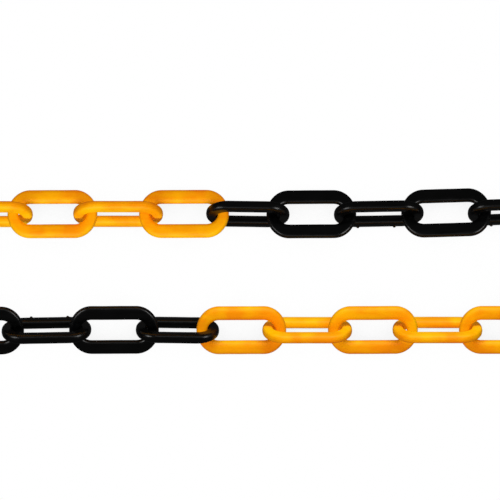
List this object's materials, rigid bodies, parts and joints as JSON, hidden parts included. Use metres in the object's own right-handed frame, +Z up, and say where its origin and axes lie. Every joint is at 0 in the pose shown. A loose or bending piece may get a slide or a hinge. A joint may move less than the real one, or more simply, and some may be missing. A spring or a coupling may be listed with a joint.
{
  "type": "plastic barrier chain",
  "caption": "Plastic barrier chain of moulded oval links in yellow and black sections, every second link turned on edge, laid on the ground as a hairpin.",
  "frame": {"origin": "on the ground, under the middle of the chain as it lies", "axes": "+Z up, X along the two rows with the bend at +X and the free ends at -X, +Y towards the row that starts with link 1"},
  "size_m": [0.4476, 0.0988, 0.0294],
  "materials": {
    "yellow_plastic": "semi-gloss injection-moulded polyethylene, orange-yellow, slightly translucent",
    "black_plastic": "semi-gloss injection-moulded polyethylene, black"
  },
  "bodies": {
    "link_01_yellow": {"link_01_yellow": "yellow_plastic"},
    "link_02_yellow": {"link_02_yellow": "yellow_plastic"},
    "link_03_yellow": {"link_03_yellow": "yellow_plastic"},
    "link_04_yellow": {"link_04_yellow": "yellow_plastic"},
    "link_05_yellow": {"link_05_yellow": "yellow_plastic"},
    "link_06_yellow": {"link_06_yellow": "yellow_plastic"},
    "link_07_black": {"link_07_black": "black_plastic"},
    "link_08_black": {"link_08_black": "black_plastic"},
    "link_09_black": {"link_09_black": "black_plastic"},
    "link_10_black": {"link_10_black": "black_plastic"},
    "link_11_black": {"link_11_black": "black_plastic"},
    "link_12_black": {"link_12_black": "black_plastic"},
    "link_13_yellow": {"link_13_yellow": "yellow_plastic"},
    "link_14_yellow": {"link_14_yellow": "yellow_plastic"},
    "link_15_yellow": {"link_15_yellow": "yellow_plastic"},
    "link_16_yellow": {"link_16_yellow": "yellow_plastic"},
    "link_17_yellow": {"link_17_yellow": "yellow_plastic"},
    "link_18_yellow": {"link_18_yellow": "yellow_plastic"},
    "link_19_black": {"link_19_black": "black_plastic"},
    "link_20_black": {"link_20_black": "black_plastic"},
    "link_21_black": {"link_21_black": "black_plastic"},
    "link_22_black": {"link_22_black": "black_plastic"},
    "link_23_black": {"link_23_black": "black_plastic"},
    "link_24_black": {"link_24_black": "black_plastic"}
  },
  "joints": [
    {"name": "fold_01_02", "type": "hinge", "parent": "link_02_yellow", "child": "link_01_yellow", "pos_m": [-0.17739, 0.03439, 0.01311], "axis": [0, 0.9219, -0.3875], "range_deg": [-120, 120]},
    {"name": "fold_02_03", "type": "hinge", "parent": "link_03_yellow", "child": "link_02_yellow", "pos_m": [-0.13199, 0.03439, 0.01311], "axis": [0, -0.9219, 0.3875], "range_deg": [-120, 120]},
    {"name": "fold_03_04", "type": "hinge", "parent": "link_04_yellow", "child": "link_03_yellow", "pos_m": [-0.10199, 0.03433, 0.01311], "axis": [-0.0048, 0.9219, -0.3875], "range_deg": [-120, 120]},
    {"name": "fold_04_05", "type": "hinge", "parent": "link_05_yellow", "child": "link_04_yellow", "pos_m": [-0.05659, 0.03457, 0.01311], "axis": [0.0048, -0.9219, 0.3875], "range_deg": [-120, 120]},
    {"name": "fold_05_06", "type": "hinge", "parent": "link_06_yellow", "child": "link_05_yellow", "pos_m": [-0.02629, 0.03444, 0.01311], "axis": [-0.0048, 0.9219, -0.3875], "range_deg": [-120, 120]},
    {"name": "fold_06_07", "type": "hinge", "parent": "link_07_black", "child": "link_06_yellow", "pos_m": [0.01911, 0.03468, 0.01311], "axis": [0.0048, -0.9219, 0.3875], "range_deg": [-120, 120]},
    {"name": "fold_07_08", "type": "hinge", "parent": "link_08_black", "child": "link_07_black", "pos_m": [0.04701, 0.03428, 0.01311], "axis": [-0.0048, 0.9219, -0.3875], "range_deg": [-120, 120]},
    {"name": "fold_08_09", "type": "hinge", "parent": "link_09_black", "child": "link_08_black", "pos_m": [0.09241, 0.03452, 0.01311], "axis": [0.0048, -0.9219, 0.3875], "range_deg": [-120, 120]},
    {"name": "fold_09_10", "type": "hinge", "parent": "link_10_black", "child": "link_09_black", "pos_m": [0.1246, 0.03447, 0.01311], "axis": [-0.0273, 0.9215, -0.3875], "range_deg": [-120, 120]},
    {"name": "fold_10_11", "type": "hinge", "parent": "link_11_black", "child": "link_10_black", "pos_m": [0.16998, 0.03582, 0.01311], "axis": [0.0273, -0.9215, 0.3875], "range_deg": [-120, 120]},
    {"name": "turn_11_12", "type": "hinge", "parent": "link_12_black", "child": "link_11_black", "pos_m": [0.20816, 0.03667, 0.01391], "axis": [0.0142, -0.3873, -0.9219], "range_deg": [0, 110]},
    {"name": "turn_12_13", "type": "hinge", "parent": "link_13_yellow", "child": "link_12_black", "pos_m": [0.20925, 0.00709, 0.0147], "axis": [0, 0, -1], "range_deg": [0, 95]},
    {"name": "turn_13_14", "type": "hinge", "parent": "link_13_yellow", "child": "link_14_yellow", "pos_m": [0.19531, -0.03221, 0.0147], "axis": [0, 0, 1], "range_deg": [0, 68]},
    {"name": "fold_14_15", "type": "hinge", "parent": "link_14_yellow", "child": "link_15_yellow", "pos_m": [0.15781, -0.03221, 0.01311], "axis": [0, -0.9219, -0.3875], "range_deg": [-120, 120]},
    {"name": "fold_15_16", "type": "hinge", "parent": "link_15_yellow", "child": "link_16_yellow", "pos_m": [0.12781, -0.03214, 0.01311], "axis": [-0.0048, 0.9219, 0.3875], "range_deg": [-120, 120]},
    {"name": "fold_16_17", "type": "hinge", "parent": "link_16_yellow", "child": "link_17_yellow", "pos_m": [0.08241, -0.03238, 0.01311], "axis": [0.0048, -0.9219, -0.3875], "range_deg": [-120, 120]},
    {"name": "fold_17_18", "type": "hinge", "parent": "link_17_yellow", "child": "link_18_yellow", "pos_m": [0.05211, -0.03225, 0.01311], "axis": [-0.0048, 0.9219, 0.3875], "range_deg": [-120, 120]},
    {"name": "fold_18_19", "type": "hinge", "parent": "link_18_yellow", "child": "link_19_black", "pos_m": [0.00671, -0.03249, 0.01311], "axis": [0.0048, -0.9219, -0.3875], "range_deg": [-120, 120]},
    {"name": "fold_19_20", "type": "hinge", "parent": "link_19_black", "child": "link_20_black", "pos_m": [-0.02118, -0.03209, 0.01311], "axis": [-0.0048, 0.9219, 0.3875], "range_deg": [-120, 120]},
    {"name": "fold_20_21", "type": "hinge", "parent": "link_20_black", "child": "link_21_black", "pos_m": [-0.06658, -0.03233, 0.01311], "axis": [0.0048, -0.9219, -0.3875], "range_deg": [-120, 120]},
    {"name": "fold_21_22", "type": "hinge", "parent": "link_21_black", "child": "link_22_black", "pos_m": [-0.09878, -0.03228, 0.01311], "axis": [-0.0273, 0.9215, 0.3875], "range_deg": [-120, 120]},
    {"name": "fold_22_23", "type": "hinge", "parent": "link_22_black", "child": "link_23_black", "pos_m": [-0.14416, -0.03363, 0.01311], "axis": [0.0273, -0.9215, -0.3875], "range_deg": [-120, 120]},
    {"name": "fold_23_24", "type": "hinge", "parent": "link_23_black", "child": "link_24_black", "pos_m": [-0.17524, -0.03422, 0.01311], "axis": [-0.0338, 0.9212, 0.3875], "range_deg": [-120, 120]}
  ]
}
